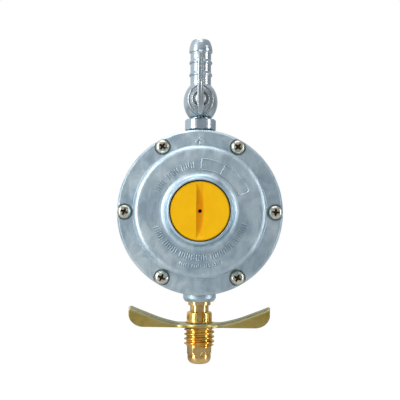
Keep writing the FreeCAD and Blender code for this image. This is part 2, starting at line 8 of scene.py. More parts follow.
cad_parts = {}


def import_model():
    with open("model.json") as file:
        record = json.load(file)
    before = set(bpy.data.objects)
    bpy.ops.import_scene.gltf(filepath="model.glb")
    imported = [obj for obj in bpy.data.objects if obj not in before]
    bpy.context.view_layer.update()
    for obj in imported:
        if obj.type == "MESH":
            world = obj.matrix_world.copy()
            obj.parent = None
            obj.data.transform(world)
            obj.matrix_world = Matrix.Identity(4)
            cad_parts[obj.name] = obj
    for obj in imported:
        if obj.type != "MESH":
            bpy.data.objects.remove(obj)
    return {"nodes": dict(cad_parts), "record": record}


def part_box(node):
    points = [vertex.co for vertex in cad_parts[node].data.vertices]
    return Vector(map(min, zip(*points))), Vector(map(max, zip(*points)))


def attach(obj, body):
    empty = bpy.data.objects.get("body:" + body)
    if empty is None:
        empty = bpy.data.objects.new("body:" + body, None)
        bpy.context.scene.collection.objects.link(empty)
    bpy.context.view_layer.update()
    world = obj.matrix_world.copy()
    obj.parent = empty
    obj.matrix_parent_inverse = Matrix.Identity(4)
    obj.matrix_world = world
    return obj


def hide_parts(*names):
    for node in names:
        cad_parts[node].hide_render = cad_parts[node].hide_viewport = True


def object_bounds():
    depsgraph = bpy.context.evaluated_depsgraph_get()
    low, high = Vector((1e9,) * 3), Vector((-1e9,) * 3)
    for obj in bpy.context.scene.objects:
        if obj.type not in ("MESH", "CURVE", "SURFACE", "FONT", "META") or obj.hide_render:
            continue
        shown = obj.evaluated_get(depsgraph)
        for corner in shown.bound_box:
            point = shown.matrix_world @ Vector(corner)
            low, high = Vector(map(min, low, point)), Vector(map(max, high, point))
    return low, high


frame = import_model()
cad_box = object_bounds()
nodes = frame["nodes"]
MM = 0.001

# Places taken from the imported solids.
housing_lo, housing_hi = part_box("cover")
HOUSING = Vector(((housing_lo[0] + housing_hi[0]) / 2, 0, (housing_lo[2] + housing_hi[2]) / 2))
DOME_FACE = -20.5  # y of the dome's face, in millimetres


# ---------------------------------------------------------------- materials

class Nodes:
    """A small writer for one material's node tree."""

    def __init__(self, name):
        self.material = bpy.data.materials.new(name)
        self.material.use_nodes = True
        self.tree = self.material.node_tree
        self.shader = self.tree.nodes["Principled BSDF"]
        coords = self.add("ShaderNodeTexCoord")
        mapping = self.add("ShaderNodeMapping")
        mapping.inputs["Scale"].default_value = (1000, 1000, 1000)
        self.link(coords.outputs["Object"], mapping.inputs["Vector"])
        self.mm = mapping.outputs["Vector"]

    def add(self, kind, **settings):
        node = self.tree.nodes.new(kind)
        for key, value in settings.items():
            setattr(node, key, value)
        return node

    def link(self, a, b):
        self.tree.links.new(a, b)

    def noise(self, scale, detail=4.0, rough=0.55, distortion=0.0, stretch=None, offset=0.0):
        """Noise with `scale` features per millimetre, optionally stretched along an axis."""
        node = self.add("ShaderNodeTexNoise")
        node.inputs["Scale"].default_value = scale
        node.inputs["Detail"].default_value = detail
        node.inputs["Roughness"].default_value = rough
        node.inputs["Distortion"].default_value = distortion
        vector = self.mm
        if stretch or offset:
            m = self.add("ShaderNodeMapping")
            m.inputs["Scale"].default_value = stretch or (1, 1, 1)
            m.inputs["Location"].default_value = (offset, offset * 0.7, -offset)
            self.link(vector, m.inputs["Vector"])
            vector = m.outputs["Vector"]
        self.link(vector, node.inputs["Vector"])
        return node.outputs["Fac"]

    def ramp(self, fac, stops):
        node = self.add("ShaderNodeValToRGB")
        elements = node.color_ramp.elements
        while len(elements) < len(stops):
            elements.new(0.5)
        for element, (pos, colour) in zip(elements, stops):
            element.position = pos
            element.color = (*colour, 1)
        self.link(fac, node.inputs["Fac"])
        return node.outputs["Color"]

    def span(self, fac, low, high, from_low=0.3, from_high=0.7):
        node = self.add("ShaderNodeMapRange")
        node.inputs["From Min"].default_value = from_low
        node.inputs["From Max"].default_value = from_high
        node.inputs["To Min"].default_value = low
        node.inputs["To Max"].default_value = high
        self.link(fac, node.inputs["Value"])
        return node.outputs["Result"]

    def math(self, operation, a, b):
        node = self.add("ShaderNodeMath", operation=operation)
        for socket, value in zip(node.inputs, (a, b)):
            if isinstance(value, (int, float)):
                socket.default_value = value
            else:
                self.link(value, socket)
        return node.outputs["Value"]

    def mix(self, fac, a, b):
        """Colour socket a, turning into the fixed colour b as fac goes to 1."""
        node = self.add("ShaderNodeMix", data_type="RGBA")
        self.link(fac, node.inputs[0])
        self.link(a, node.inputs[6])
        node.inputs[7].default_value = (*b, 1)
        return node.outputs[2]

    def edges(self, radius):
        """(softened normal, mask that is 1 on edges within radius millimetres)."""
        bevel = self.add("ShaderNodeBevel", samples=12)
        bevel.inputs["Radius"].default_value = radius * MM
        geometry = self.add("ShaderNodeNewGeometry")
        dot = self.add("ShaderNodeVectorMath", operation="DOT_PRODUCT")
        self.link(bevel.outputs["Normal"], dot.inputs[0])
        self.link(geometry.outputs["Normal"], dot.inputs[1])
        mask = self.span(dot.outputs["Value"], 1.0, 0.0, 0.80, 0.995)
        return bevel.outputs["Normal"], mask

    def hollow_shade(self, reach, strength):
        """A mask for painted shade: up to `strength` in corners and gaps narrower than reach millimetres."""
        node = self.add("ShaderNodeAmbientOcclusion", samples=6)
        node.inputs["Distance"].default_value = reach * MM
        return self.span(node.outputs["AO"], strength, 0.0, 0.25, 0.85)

    def bump(self, height, distance, normal=None, strength=1.0):
        node = self.add("ShaderNodeBump")
        node.inputs["Distance"].default_value = distance * MM
        node.inputs["Strength"].default_value = strength
        self.link(height, node.inputs["Height"])
        if normal is not None:
            self.link(normal, node.inputs["Normal"])
        return node.outputs["Normal"]

    def finish(self, colour, rough, normal, metallic=1.0, **fixed):
        self.link(colour, self.shader.inputs["Base Color"])
        self.link(rough, self.shader.inputs["Roughness"])
        self.link(normal, self.shader.inputs["Normal"])
        self.shader.inputs["Metallic"].default_value = metallic
        for name, value in fixed.items():
            self.shader.inputs[name.replace("_", " ")].default_value = value
        return self.material


ZINC = (0.50, 0.565, 0.605)
ZINC_DARKER = (0.09, 0.09, 0.08)  # how far the dark blotches fall below ZINC, at a mottle of 1
ZINC_PALER = (0.10, 0.09, 0.08)


def cast_zinc(name, tone, rough=(0.34, 0.5), soften=0.25, pits=0.05, tint=(0.0, 0.0, 0.0), mottle=1.0):
    """Tumbled die-cast zinc: blue-grey, with soft flow blotches, fine sand grain, bright edges and painted
    shade in corners and gaps.
    """
    def shade(shift, sign):
        return tuple(tone * (c + sign * d * mottle) + t for c, d, t in zip(ZINC, shift, tint))
    n = Nodes(name)
    soft, edge = n.edges(soften)
    blotch = n.noise(0.075, 3.0, 0.5, 0.6)
    flow = n.noise(0.22, 5.0, 0.62, 1.2, stretch=(1, 1, 0.55), offset=7.0)
    grain = n.noise(4.5, 3.0, 0.6, offset=3.0)
    dark, mid, pale = shade(ZINC_DARKER, -1), shade(ZINC_DARKER, 0), shade(ZINC_PALER, 1)
    colour = n.ramp(n.math("ADD", n.math("MULTIPLY", blotch, 0.6), n.math("MULTIPLY", flow, 0.4)),
                    [(0.38, dark), (0.5, mid), (0.62, pale)])
    speck = n.span(n.noise(1.7, 2.0, 0.5, offset=11.0), 0.0, 0.3 * mottle, 0.62, 0.74)
    colour = n.mix(speck, colour, tuple(0.78 * c for c in dark))
    colour = n.mix(n.math("MULTIPLY", edge, 0.55), colour, tuple(min(1.0, 1.25 * c) for c in pale))
    # Painted shade: near-black blue-grey in corners and gaps, such as round the screws and at the dome's
    # foot.
    colour = n.mix(n.hollow_shade(1.6, 0.8), colour, (0.055, 0.06, 0.065))
    roughness = n.math("ADD", n.span(flow, rough[0], rough[1]), n.math("MULTIPLY", edge, -0.1))
    normal = n.bump(grain, 0.012 * mottle ** 4, soft)
    normal = n.bump(n.noise(0.9, 3.0, 0.6, offset=5.0), pits, normal, 0.6)
    return n.finish(colour, roughness, normal)


def turned_brass(name, dark, mid, pale, rough, soften, lines):
    """Turned brass: fine tool lines around the axis, slight tarnish, bright edges and painted shade in
    corners.
    """
    n = Nodes(name)
    soft, edge = n.edges(soften)
    tarnish = n.noise(0.22, 3.0, 0.5, 0.6)
    tool = n.noise(7.0, 2.0, 0.5, stretch=(0.02, 0.02, 1.0))
    colour = n.ramp(tarnish, [(0.34, dark), (0.5, mid), (0.66, pale)])
    colour = n.mix(n.math("MULTIPLY", edge, 0.5), colour, tuple(min(1.0, 1.15 * c) for c in pale))
    stain = n.span(n.noise(0.9, 3.0, 0.6, offset=4.0), 0.0, 0.22, 0.6, 0.75)
    colour = n.mix(stain, colour, tuple(0.7 * c for c in dark))
    # Painted shade: dark brown in corners and gaps.
    colour = n.mix(n.hollow_shade(0.8, 0.6), colour, (0.16, 0.07, 0.012))
    roughness = n.math("ADD", n.span(tarnish, rough[0], rough[1]), n.math("MULTIPLY", tool, 0.05))
    normal = n.bump(tool, lines, soft)
    return n.finish(colour, roughness, normal)


def plated_steel(name, dark, mid, pale, rough=(0.22, 0.36)):
    """Plated steel: cloudy, with fine roughness and painted shade in its corners."""
    n = Nodes(name)
    soft, edge = n.edges(0.15)
    cloud = n.noise(0.3, 4.0, 0.6, 0.5)
    fine = n.noise(5.0, 3.0, 0.6, offset=9.0)
    colour = n.ramp(cloud, [(0.34, dark), (0.5, mid), (0.66, pale)])
    colour = n.mix(n.math("MULTIPLY", edge, 0.45), colour, tuple(min(1.0, 1.2 * c) for c in pale))
    roughness = n.math("ADD", n.span(cloud, rough[0], rough[1]), n.math("MULTIPLY", fine, 0.05))
    # Painted shade: near-black in corners and gaps.
    colour = n.mix(n.hollow_shade(0.9, 0.7), colour, (0.05, 0.045, 0.04))
    return n.finish(colour, roughness, n.bump(fine, 0.003, soft))


def painted_gap_shadow():
    """Painted shadow on walls that face a narrow gap: near-black, with paler edges."""
    n = Nodes("painted_gap_shadow")
    soft, edge = n.edges(0.1)
    cloud = n.noise(0.8, 4.0, 0.6, 0.5)
    colour = n.ramp(cloud, [(0.35, (0.02, 0.022, 0.025)), (0.65, (0.06, 0.065, 0.07))])
    colour = n.mix(n.math("MULTIPLY", edge, 0.25), colour, (0.3, 0.32, 0.34))
    normal = n.bump(n.noise(6.0, 3.0, 0.6), 0.01, soft)
    return n.finish(colour, n.span(cloud, 0.35, 0.6), normal, metallic=0.6)


def painted_recess_shade():
    """Painted shade in the screws' cross recesses: dark brown walls."""
    n = Nodes("painted_recess_shade")
    soft, edge = n.edges(0.08)
    cloud = n.noise(1.2, 4.0, 0.65, 0.6)
    colour = n.ramp(cloud, [(0.35, (0.035, 0.018, 0.006)), (0.55, (0.09, 0.045, 0.015)),
                            (0.7, (0.20, 0.11, 0.04))])
    colour = n.mix(n.math("MULTIPLY", edge, 0.3), colour, (0.30, 0.24, 0.16))
    normal = n.bump(n.noise(6.0, 3.0, 0.6), 0.02, soft)
    return n.finish(colour, n.span(cloud, 0.5, 0.8), normal, metallic=0.4)


def passivate():
    """Yellow-passivated sheet: olive gold, cloudy; faces that look up are painted paler and greener, a
    painted reflection of the bright light above.
    """
    n = Nodes("yellow_passivate")
    soft, edge = n.edges(0.35)
    cloud = n.noise(0.12, 4.0, 0.6, 0.8)
    streak = n.noise(0.5, 4.0, 0.6, 0.5, stretch=(0.3, 1, 1), offset=6.0)
    fine = n.noise(6.0, 3.0, 0.65, offset=2.0)
    colour = n.ramp(cloud, [(0.32, (0.42, 0.31, 0.075)), (0.5, (0.50, 0.385, 0.11)),
                            (0.68, (0.56, 0.45, 0.16))])
    colour = n.mix(n.span(streak, 0.0, 0.35, 0.5, 0.72), colour, (0.54, 0.40, 0.16))
    split = n.add("ShaderNodeSeparateXYZ")
    geometry = n.add("ShaderNodeNewGeometry")
    n.link(geometry.outputs["Normal"], split.inputs["Vector"])
    # Painted reflection: faces that point upward are painted paler and greener, as if lit from above.
    up = n.span(split.outputs["Z"], 0.0, 0.9, 0.12, 0.5)
    colour = n.mix(up, colour, (0.53, 0.51, 0.32))
    colour = n.mix(n.math("MULTIPLY", edge, 0.35), colour, (0.62, 0.60, 0.40))
    roughness = n.span(streak, 0.3, 0.44)
    normal = n.bump(fine, 0.008, soft)
    return n.finish(colour, roughness, n.bump(n.noise(0.8, 3.0, 0.5), 0.02, normal, 0.5))


def plastic(name, base, deep, rough=(0.34, 0.44)):
    """Moulded plastic: faint cloudiness, fine texture, long soft scuffs."""
    n = Nodes(name)
    soft, edge = n.edges(0.12)
    cloud = n.noise(0.15, 3.0, 0.5)
    fine = n.noise(7.0, 2.0, 0.5, offset=8.0)
    colour = n.ramp(cloud, [(0.35, deep), (0.62, base)])
    colour = n.mix(n.math("MULTIPLY", edge, 0.35), colour, tuple(min(1.0, 1.08 * c + 0.02) for c in base))
    scuff = n.span(n.noise(1.1, 5.0, 0.7, 1.5, stretch=(1, 1, 0.2), offset=1.0), 0.0, 0.12, 0.58, 0.7)
    roughness = n.math("ADD", n.span(fine, rough[0], rough[1]), scuff)
    return n.finish(colour, roughness, n.bump(fine, 0.006, soft), metallic=0.0, Specular_IOR_Level=0.15)


def rubber():
    n = Nodes("black_rubber")
    soft, edge = n.edges(0.1)
    cloud = n.noise(0.5, 3.0, 0.5)
    fine = n.noise(8.0, 3.0, 0.6)
    colour = n.ramp(cloud, [(0.3, (0.02, 0.02, 0.022)), (0.7, (0.045, 0.045, 0.05))])
    colour = n.mix(n.math("MULTIPLY", edge, 0.3), colour, (0.09, 0.09, 0.09))
    return n.finish(colour, n.span(fine, 0.6, 0.75), n.bump(fine, 0.01, soft), metallic=0.0)


MATERIALS = {
    "cast_zinc": cast_zinc("cast_zinc", 1.15, tint=(-0.02, 0.04, 0.075), mottle=1.3),
    "bright_zinc": cast_zinc("bright_zinc", 1.12, (0.20, 0.30), 0.08, 0.0005, (-0.015, 0.015, 0.04), 0.3),
    "lever_zinc": cast_zinc("lever_zinc", 0.9, (0.26, 0.38), 0.08, 0.0005, mottle=0.4),
    "plated_screws": plated_steel(
        "plated_screws", (0.42, 0.43, 0.36), (0.62, 0.63, 0.53), (0.78, 0.79, 0.68), (0.14, 0.24)),
    "plated_steel": plated_steel(
        "plated_steel", (0.42, 0.43, 0.44), (0.54, 0.55, 0.56), (0.64, 0.65, 0.66)),
    "spring_steel": plated_steel(
        "spring_steel", (0.24, 0.25, 0.26), (0.32, 0.33, 0.35), (0.42, 0.43, 0.44), (0.3, 0.4)),
    "yellow_passivate": passivate(),
    "brass_turned": turned_brass(
        "brass_turned", (0.62, 0.39, 0.13), (0.80, 0.55, 0.21), (0.90, 0.68, 0.32),
        (0.08, 0.15), 0.15, 0.0008),
    "brass_thread": turned_brass(
        "brass_thread", (0.62, 0.35, 0.06), (0.83, 0.52, 0.12), (0.90, 0.62, 0.20),
        (0.08, 0.16), 0.12, 0.0006),
    "brass_gauze": turned_brass(
        "brass_gauze", (0.30, 0.22, 0.10), (0.42, 0.31, 0.15), (0.52, 0.40, 0.22),
        (0.35, 0.5), 0.12, 0.002),
    "yellow_plastic": plastic("yellow_plastic", (0.96, 0.53, 0.003), (0.93, 0.49, 0.002), (0.45, 0.55)),
    "white_plastic": plastic("white_plastic", (0.78, 0.77, 0.73), (0.70, 0.69, 0.65)),
    "black_rubber": rubber(),
}

slot_of = {s["node"]: s["material_slot"] for s in frame["record"]["subparts"]}
for name, obj in nodes.items():
    for slot in obj.material_slots:
        slot.material = MATERIALS[slot_of[name]]


# ---------------------------------------------------------------- pieces

def new_piece(name, verts, faces, materials, sharp=35.0, tags=None):
    """A mesh object from points in millimetres. tags gives each face its material's index."""
    mesh = bpy.data.meshes.new(name)
    mesh.from_pydata([Vector(v) * MM for v in verts], [], faces)
    for material in materials:
        mesh.materials.append(material)
    if tags:
        for polygon, tag in zip(mesh.polygons, tags):
            polygon.material_index = tag
    obj = bpy.data.objects.new(name, mesh)
    bpy.context.collection.objects.link(obj)
    bm = bmesh.new()
    bm.from_mesh(mesh)
    bmesh.ops.remove_doubles(bm, verts=bm.verts, dist=1e-7)
    bmesh.ops.recalc_face_normals(bm, faces=bm.faces)
    bm.to_mesh(mesh)
    bm.free()
    smooth(mesh, sharp)
    return obj


def smooth(mesh, sharp):
    mesh.shade_smooth()
    mesh.set_sharp_from_angle(angle=math.radians(sharp))


def settle(obj, sharp):
    """Turns the modified shape of obj into its plain mesh."""
    graph = bpy.context.evaluated_depsgraph_get()
    mesh = bpy.data.meshes.new_from_object(obj.evaluated_get(graph))
    obj.modifiers.clear()
    obj.data = mesh
    smooth(mesh, sharp)


def cut(obj, cutter, sharp=35.0):
    """Takes the cutter's shape out of obj; the new faces keep the cutter's material index."""
    tool = obj.modifiers.new("cut", "BOOLEAN")
    tool.object = cutter
    tool.operation = "DIFFERENCE"
    tool.solver = "EXACT"
    settle(obj, sharp)
    bpy.data.objects.remove(cutter)


def grid_faces(rows, cols, start=0, loop_rows=False, loop_cols=False):
    faces = []
    for i in range(rows if loop_rows else rows - 1):
        for j in range(cols if loop_cols else cols - 1):
            a, b = start + i * cols + j, start + i * cols + (j + 1) % cols
            c, d = start + (i + 1) % rows * cols + (j + 1) % cols, start + (i + 1) % rows * cols + j
            faces.append((a, b, c, d))
    return faces


class Shape:
    """Collects points and faces from several forms into one mesh."""

    def __init__(self):
        self.verts, self.faces, self.tags = [], [], []

    def add(self, verts, faces, tag=0):
        start = len(self.verts)
        self.verts += verts
        self.faces += [tuple(start + i for i in face) for face in faces]
        self.tags += [tag] * len(faces)

    def lathe(self, profile, centre=(0, 0, 0), axis="Z", steps=72, tag=0):
        """A closed (radius, height) outline turned about an axis through centre."""
        verts = []
        for r, h in profile:
            for k in range(steps):
                a = 2 * math.pi * k / steps
                u, v = r * math.cos(a), r * math.sin(a)
                x, y, z = (u, v, h) if axis == "Z" else (u, h, v)
                verts.append((x + centre[0], y + centre[1], z + centre[2]))
        self.add(verts, grid_faces(len(profile), steps, 0, True, True), tag)

    def prism(self, outline, place, depth, grow=1.0, tag=0):
        """An outline (a, b), scaled by grow at its full depth; place maps (a, b, depth) to a point."""
        n = len(outline)
        verts = [place(a, b, 0.0) for a, b in outline]
        verts += [place(a * grow, b * grow, depth) for a, b in outline]
        faces = [tuple(range(n)), tuple(range(2 * n - 1, n - 1, -1))]
        faces += [(i, (i + 1) % n, n + (i + 1) % n, n + i) for i in range(n)]
        self.add(verts, faces, tag)

    def piece(self, name, materials, sharp=35.0):
        return new_piece(name, self.verts, self.faces, materials, sharp, self.tags)


def ease(t):
    t = min(max(t, 0.0), 1.0)
    return t * t * (3 - 2 * t)


THREAD_CREST, THREAD_ROOT, THREAD_PITCH, THREAD_HALF = 7.15, 6.05, 2.15, 4.3
THREAD_LEAD_IN = 6.35  # radius at the thread's bottom edge
SLEEVE_BORE, COLLAR, COLLAR_TOP = 4.45, 5.95, 11.7
COLLAR_ROUNDING = 1.3
FOOT_Z, FOOT_HALF, FOOT_BULGE = 6.75, 0.45, 0.32


def sleeve_radius(z, turn):
    """The sleeve's outer radius: a right-hand thread below, a slotted collar with a rolled foot above."""
    if z > THREAD_HALF:
        foot = FOOT_BULGE * max(0.0, 1 - abs(z - FOOT_Z) / FOOT_HALF)
        top = max(0.0, z - (COLLAR_TOP - COLLAR_ROUNDING)) / COLLAR_ROUNDING
        return COLLAR + foot - (1 - math.sqrt(max(0.0, 1 - top * top)))
    wave = abs(2 * ((z / THREAD_PITCH - turn) % 1.0) - 1)
    radius = THREAD_ROOT + (THREAD_CREST - THREAD_ROOT) * ease((wave - 0.2) / 0.66)
    return min(radius, THREAD_LEAD_IN + 1.5 * (z + THREAD_HALF))


def wing_sleeve():
    """The brass sleeve that carries the wings: thread, collar and the collar's screwdriver slot."""
    steps = 96
    low = [-THREAD_HALF + 0.086 * i for i in range(101)]
    high = [4.31, 6.3, 6.5, 6.62, 6.75, 6.9, 7.1, 7.3, 8.4, 9.6, 10.4, 10.7, 11.0, 11.25, 11.45, 11.6]
    high.append(COLLAR_TOP)
    rows = []
    for z in low + high:
        rows.append([sleeve_radius(z, k / steps) for k in range(steps)])
    heights = low + high + [COLLAR_TOP, -THREAD_HALF]
    rows += [[SLEEVE_BORE] * steps] * 2
    verts = []
    for z, row in zip(heights, rows):
        for k, r in enumerate(row):
            a = 2 * math.pi * k / steps
            verts.append((r * math.cos(a), r * math.sin(a), z))
    shape = Shape()
    shape.add(verts, grid_faces(len(rows), steps, 0, True, True))
    sleeve = shape.piece("threaded_sleeve", [MATERIALS["brass_thread"]], 50)
    slot = Shape()
    tilt = math.radians(5)

    def across(a, b, d):
        return (a * math.cos(tilt) - d * math.sin(tilt), a * math.sin(tilt) + d * math.cos(tilt), b)
    outline = [(-1.45, 7.4), (-1.1, 6.95), (1.1, 6.95), (1.45, 7.4), (1.45, 13.0), (-1.45, 13.0)]
    slot.prism(outline, lambda a, b, d: across(a, b, d - 9.0), 18.0)
    cut(sleeve, slot.piece("slot_cutter", []), 50)
    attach(sleeve, "wing_screw")
    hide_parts("wing_sleeve")


WING_LOW, WING_TIP, WING_HALF, WING_WALL = 4.3, 33.2, 3.5, 1.5
WING_PATH = ((6.0, 6.5), (8.5, 6.5), (10.8, 6.65), (13.1, 7.1), (18.4, 8.5), (23.7, 10.4), (28.6, 12.25),
             (33.2, 14.1))
CORNER_RUN, CORNER_RISE = 7.1, 6.1  # the rounded corner below each tip
WING_TURN = -4.0  # degrees


def along(path, x):
    """A smooth line through the path's points (Catmull-Rom) at x."""
    for i in range(len(path) - 1):
        if x <= path[i + 1][0] or i == len(path) - 2:
            break
    p = [path[max(i - 1, 0)], path[i], path[i + 1], path[min(i + 2, len(path) - 1)]]
    width = p[2][0] - p[1][0]
    t = (x - p[1][0]) / width
    m1 = (p[2][1] - p[0][1]) / max(p[2][0] - p[0][0], 1e-9) * width
    m2 = (p[3][1] - p[1][1]) / max(p[3][0] - p[1][0], 1e-9) * width
    return ((2 * t**3 - 3 * t**2 + 1) * p[1][1] + (t**3 - 2 * t**2 + t) * m1
            + (-2 * t**3 + 3 * t**2) * p[2][1] + (t**3 - t**2) * m2)


def wing_section(x, inset):
    """(y, z) points of one wing's outline at x, from the front's lower edge over the spine to the back's."""
    flare = 2.0 * max(0.0, (11.0 - x) / 4.2) ** 2
    half = WING_HALF + flare - inset
    top = along(WING_PATH, x) - inset - 0.7 * max(0.0, (x - WING_TIP + 1.1) / 1.1) ** 2
    rise = max(0.0, (x - (WING_TIP - CORNER_RUN)) / CORNER_RUN)
    low = WING_LOW + CORNER_RISE * (1 - math.sqrt(max(0.0, 1 - rise * rise)))
    corner = min(2.1, top - low - 0.1, half - 0.2) - 0.5 * min(inset, 1.0)
    points = [(-half, low), (-half, (low + top - corner) / 2)]
    points += [(-half + corner - corner * math.cos(a), top - corner + corner * math.sin(a))
               for a in [math.radians(15 * i) for i in range(7)]]
    crown = 0.12
    points += [(y, top + crown * (1 - (y / half) ** 2)) for y in (-0.4 * half, 0.0, 0.4 * half)]
    return points + [(-y, z) for y, z in reversed(points[:9])]


def wing_plate():
    """Both pressed wings and the rounded ring between them."""
    shape = Shape()
    stations = [6.3 + 0.25 * i for i in range(21)] + [11.6 + 0.8 * i for i in range(19)]
    stations += [WING_TIP - CORNER_RUN + CORNER_RUN * math.sin(math.radians(8 * i)) for i in range(1, 11)]
    stations.append(WING_TIP - 0.04)
    for side in (1, -1):
        verts = []
        for x in stations:
            section = wing_section(x, 0.0) + list(reversed(wing_section(x, WING_WALL)))
            verts += [(side * x, side * y, z) for y, z in section]
        count = len(verts) // len(stations)
        faces = grid_faces(len(stations), count, 0, False, True)
        last = (len(stations) - 1) * count
        half = count // 2
        for end in (0, last):
            faces += [(end + i, end + i + 1, end + count - 2 - i, end + count - 1 - i)
                      for i in range(half - 1)]
        shape.add(verts, faces)
    ring = [(5.95, 4.3), (7.9, 4.3), (8.25, 4.42), (8.5, 4.7), (8.6, 5.1), (8.58, 5.5), (8.42, 5.95),
            (8.15, 6.28), (7.8, 6.46), (7.4, 6.5), (7.05, 6.4), (6.75, 6.15), (6.4, 5.85), (5.95, 5.75)]
    shape.lathe(ring)
    turn = math.radians(WING_TURN)
    c, s = math.cos(turn), math.sin(turn)
    shape.verts = [(x * c - y * s, x * s + y * c, z) for x, y, z in shape.verts]
    plate = shape.piece("pressed_wings", [MATERIALS["yellow_passivate"]], 42)
    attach(plate, "wing_screw")
    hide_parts("wing_plate")


BALL_Z = 111.0
LEAF_W, LEAF_H = 6.35, 7.8
LEAF_FRONT, LEAF_BACK = (13.0, 3.1), (11.64, 3.24)  # (radius, y of the centre) of its two faces
LEAF_EDGE = -5.4  # y of the leaf's hindmost points
LEAF_ARC = (LEAF_W**2 + LEAF_H**2) / (2 * LEAF_W)


def leaf_point(u, t, face, sink=0.0):
    """A point of the leaf: u is -1 to 1 across, t is the height from the ball's centre."""
    x = u * max(0.0, math.sqrt(max(0.0, LEAF_ARC**2 - t * t)) - (LEAF_ARC - LEAF_W))
    radius, centre = face
    y = centre - math.sqrt(radius**2 - x * x - t * t) + sink
    return (x, min(y, LEAF_EDGE), BALL_Z + t)


def leaf(shape):
    """The lever's foot: a rounded rim, a shallow dish inside it and an undercut side wall painted dark as
    the shadow under its edge.
    """
    rows, cols = 41, 29
    verts = []
    for layer in (0, 1):
        for i in range(rows):
            v = math.sin(math.pi / 2 * (2 * i / (rows - 1) - 1))
            for j in range(cols):
                u = math.sin(math.pi / 2 * (2 * j / (cols - 1) - 1))
                away = max(0.0, 1 - abs(u)) * max(0.0, 1 - abs(v) ** 3)
                edge = 0.3 * max(0.0, 1 - away / 0.06) ** 2
                dish = 0.5 * ease((away - 0.12) / 0.12)
                face = LEAF_FRONT if layer == 0 else LEAF_BACK
                verts.append(leaf_point(u, v * LEAF_H * 0.995, face, edge + dish if layer == 0 else 0.0))
    size = rows * cols
    shape.add(verts, grid_faces(rows, cols) + grid_faces(rows, cols, size))
    rim = [j for j in range(cols)] + [i * cols + cols - 1 for i in range(1, rows)]
    rim += [size - 1 - j for j in range(1, cols)] + [i * cols for i in range(rows - 2, 0, -1)]
    wall = [(rim[k], rim[(k + 1) % len(rim)], size + rim[(k + 1) % len(rim)], size + rim[k])
            for k in range(len(rim))]
    # The side wall takes the second material: painted shadow under the leaf's edge.
    shape.add(verts, wall, 1)


# The blade's front as (y, height above the ball's centre, half thickness), and its back as (y, height).
BLADE_FRONT = ((-9.4, -8.7, 1.05), (-10.9, -8.5, 1.1), (-12.4, -7.4, 1.2), (-13.6, -6.0, 1.3),
               (-14.6, -3.6, 1.4), (-15.0, 0.0, 1.45), (-15.2, 5.0, 1.42), (-15.0, 10.0, 1.36),
               (-14.5, 14.5, 1.28), (-13.9, 18.5, 1.18), (-13.3, 21.4, 1.1), (-12.6, 22.4, 1.05))
BLADE_BACK = ((-8.4, -7.9), (-8.4, -6.8), (-8.4, -5.2), (-8.4, -3.6), (-8.4, -1.8), (-8.4, 1.0),
              (-8.6, 5.2), (-9.4, 9.4), (-9.7, 14.5), (-9.95, 18.2), (-10.3, 21.3), (-11.2, 22.6))


def blade(shape):
    """The lever's upright blade: rounded edges, and a shallow groove down the middle of its front."""
    verts = []
    for (y0, z0, w), (y1, z1) in zip(BLADE_FRONT, BLADE_BACK):
        depth = y1 - y0
        groove = 0.28 * ease((z0 - 1.0) / 5.0)
        section = [(-w, 0.55), (-w * 0.93, 0.2), (-w * 0.68, 0.0), (-w * 0.36, 0.0), (-w * 0.22, groove),
                   (w * 0.22, groove), (w * 0.36, 0.0), (w * 0.68, 0.0), (w * 0.93, 0.2), (w, 0.55),
                   (w, depth - 0.35), (w * 0.8, depth), (-w * 0.8, depth), (-w, depth - 0.35)]
        for x, back in section:
            share = back / depth
            verts.append((x, y0 + back, BALL_Z + z0 + (z1 - z0) * share))
    count = len(verts) // len(BLADE_FRONT)
    faces = grid_faces(len(BLADE_FRONT), count, 0, False, True)
    last = (len(BLADE_FRONT) - 1) * count
    faces += [tuple(range(count)), tuple(range(last + count - 1, last - 1, -1))]
    shape.add(verts, faces)


PLUG_R, PLUG_TAPER = 4.37, 0.06  # radius at the ball's centre, and how much it changes per millimetre


def tap_lever():
    """The lever with its leaf, dome and blade, and the tapered plug with its cross hole behind it."""
    shape = Shape()
    leaf(shape)
    centre = (0, 0, BALL_Z)
    shape.lathe([(0.0, -8.3), (4.35, -8.3), (4.35, -9.5), (4.25, -9.95), (4.0, -10.2), (3.7, -10.25),
                 (3.45, -10.1), (3.25, -9.95), (3.05, -9.95), (2.9, -10.15), (2.75, -10.6), (2.35, -11.1),
                 (1.7, -11.45), (0.9, -11.58), (0.0, -11.6)], centre, "Y", 64)
    blade(shape)
    # Second material: painted shadow on the leaf's side wall.
    lever = shape.piece("tap_lever_casting", [MATERIALS["lever_zinc"], painted_gap_shadow()], 38)
    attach(lever, "tap_handle")
    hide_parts("tap_lever")
    plug = Shape()
    front, back = PLUG_R + PLUG_TAPER * 6.2, PLUG_R - PLUG_TAPER * 6.6
    plug.lathe([(0.0, -8.35), (3.9, -8.35), (3.9, -6.25), (front - 0.1, -6.2), (front, -6.0), (back, 6.5),
                (back - 0.1, 6.6), (2.4, 6.6), (2.4, 11.4), (2.2, 11.6), (0.0, 11.6)], centre, "Y", 56)
    body = plug.piece("tap_lever_plug", [MATERIALS["lever_zinc"]], 38)
    way = Shape()
    way.lathe([(0.0, -7.0), (2.6, -7.0), (2.6, 7.0), (0.0, 7.0)], centre, "Z", 40)
    cut(body, way.piece("way_cutter", []), 38)
    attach(body, "tap_handle")
    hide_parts("tap_lever")


SCREW_TURNS = (40, 5, 27, 25, 22, 35)
SCREW_RING, SCREW_SEAT = 34.7, -11.4
RECESS_FRONT, RECESS_REACH, RECESS_TAPER = -14.0, 1.75, 0.62


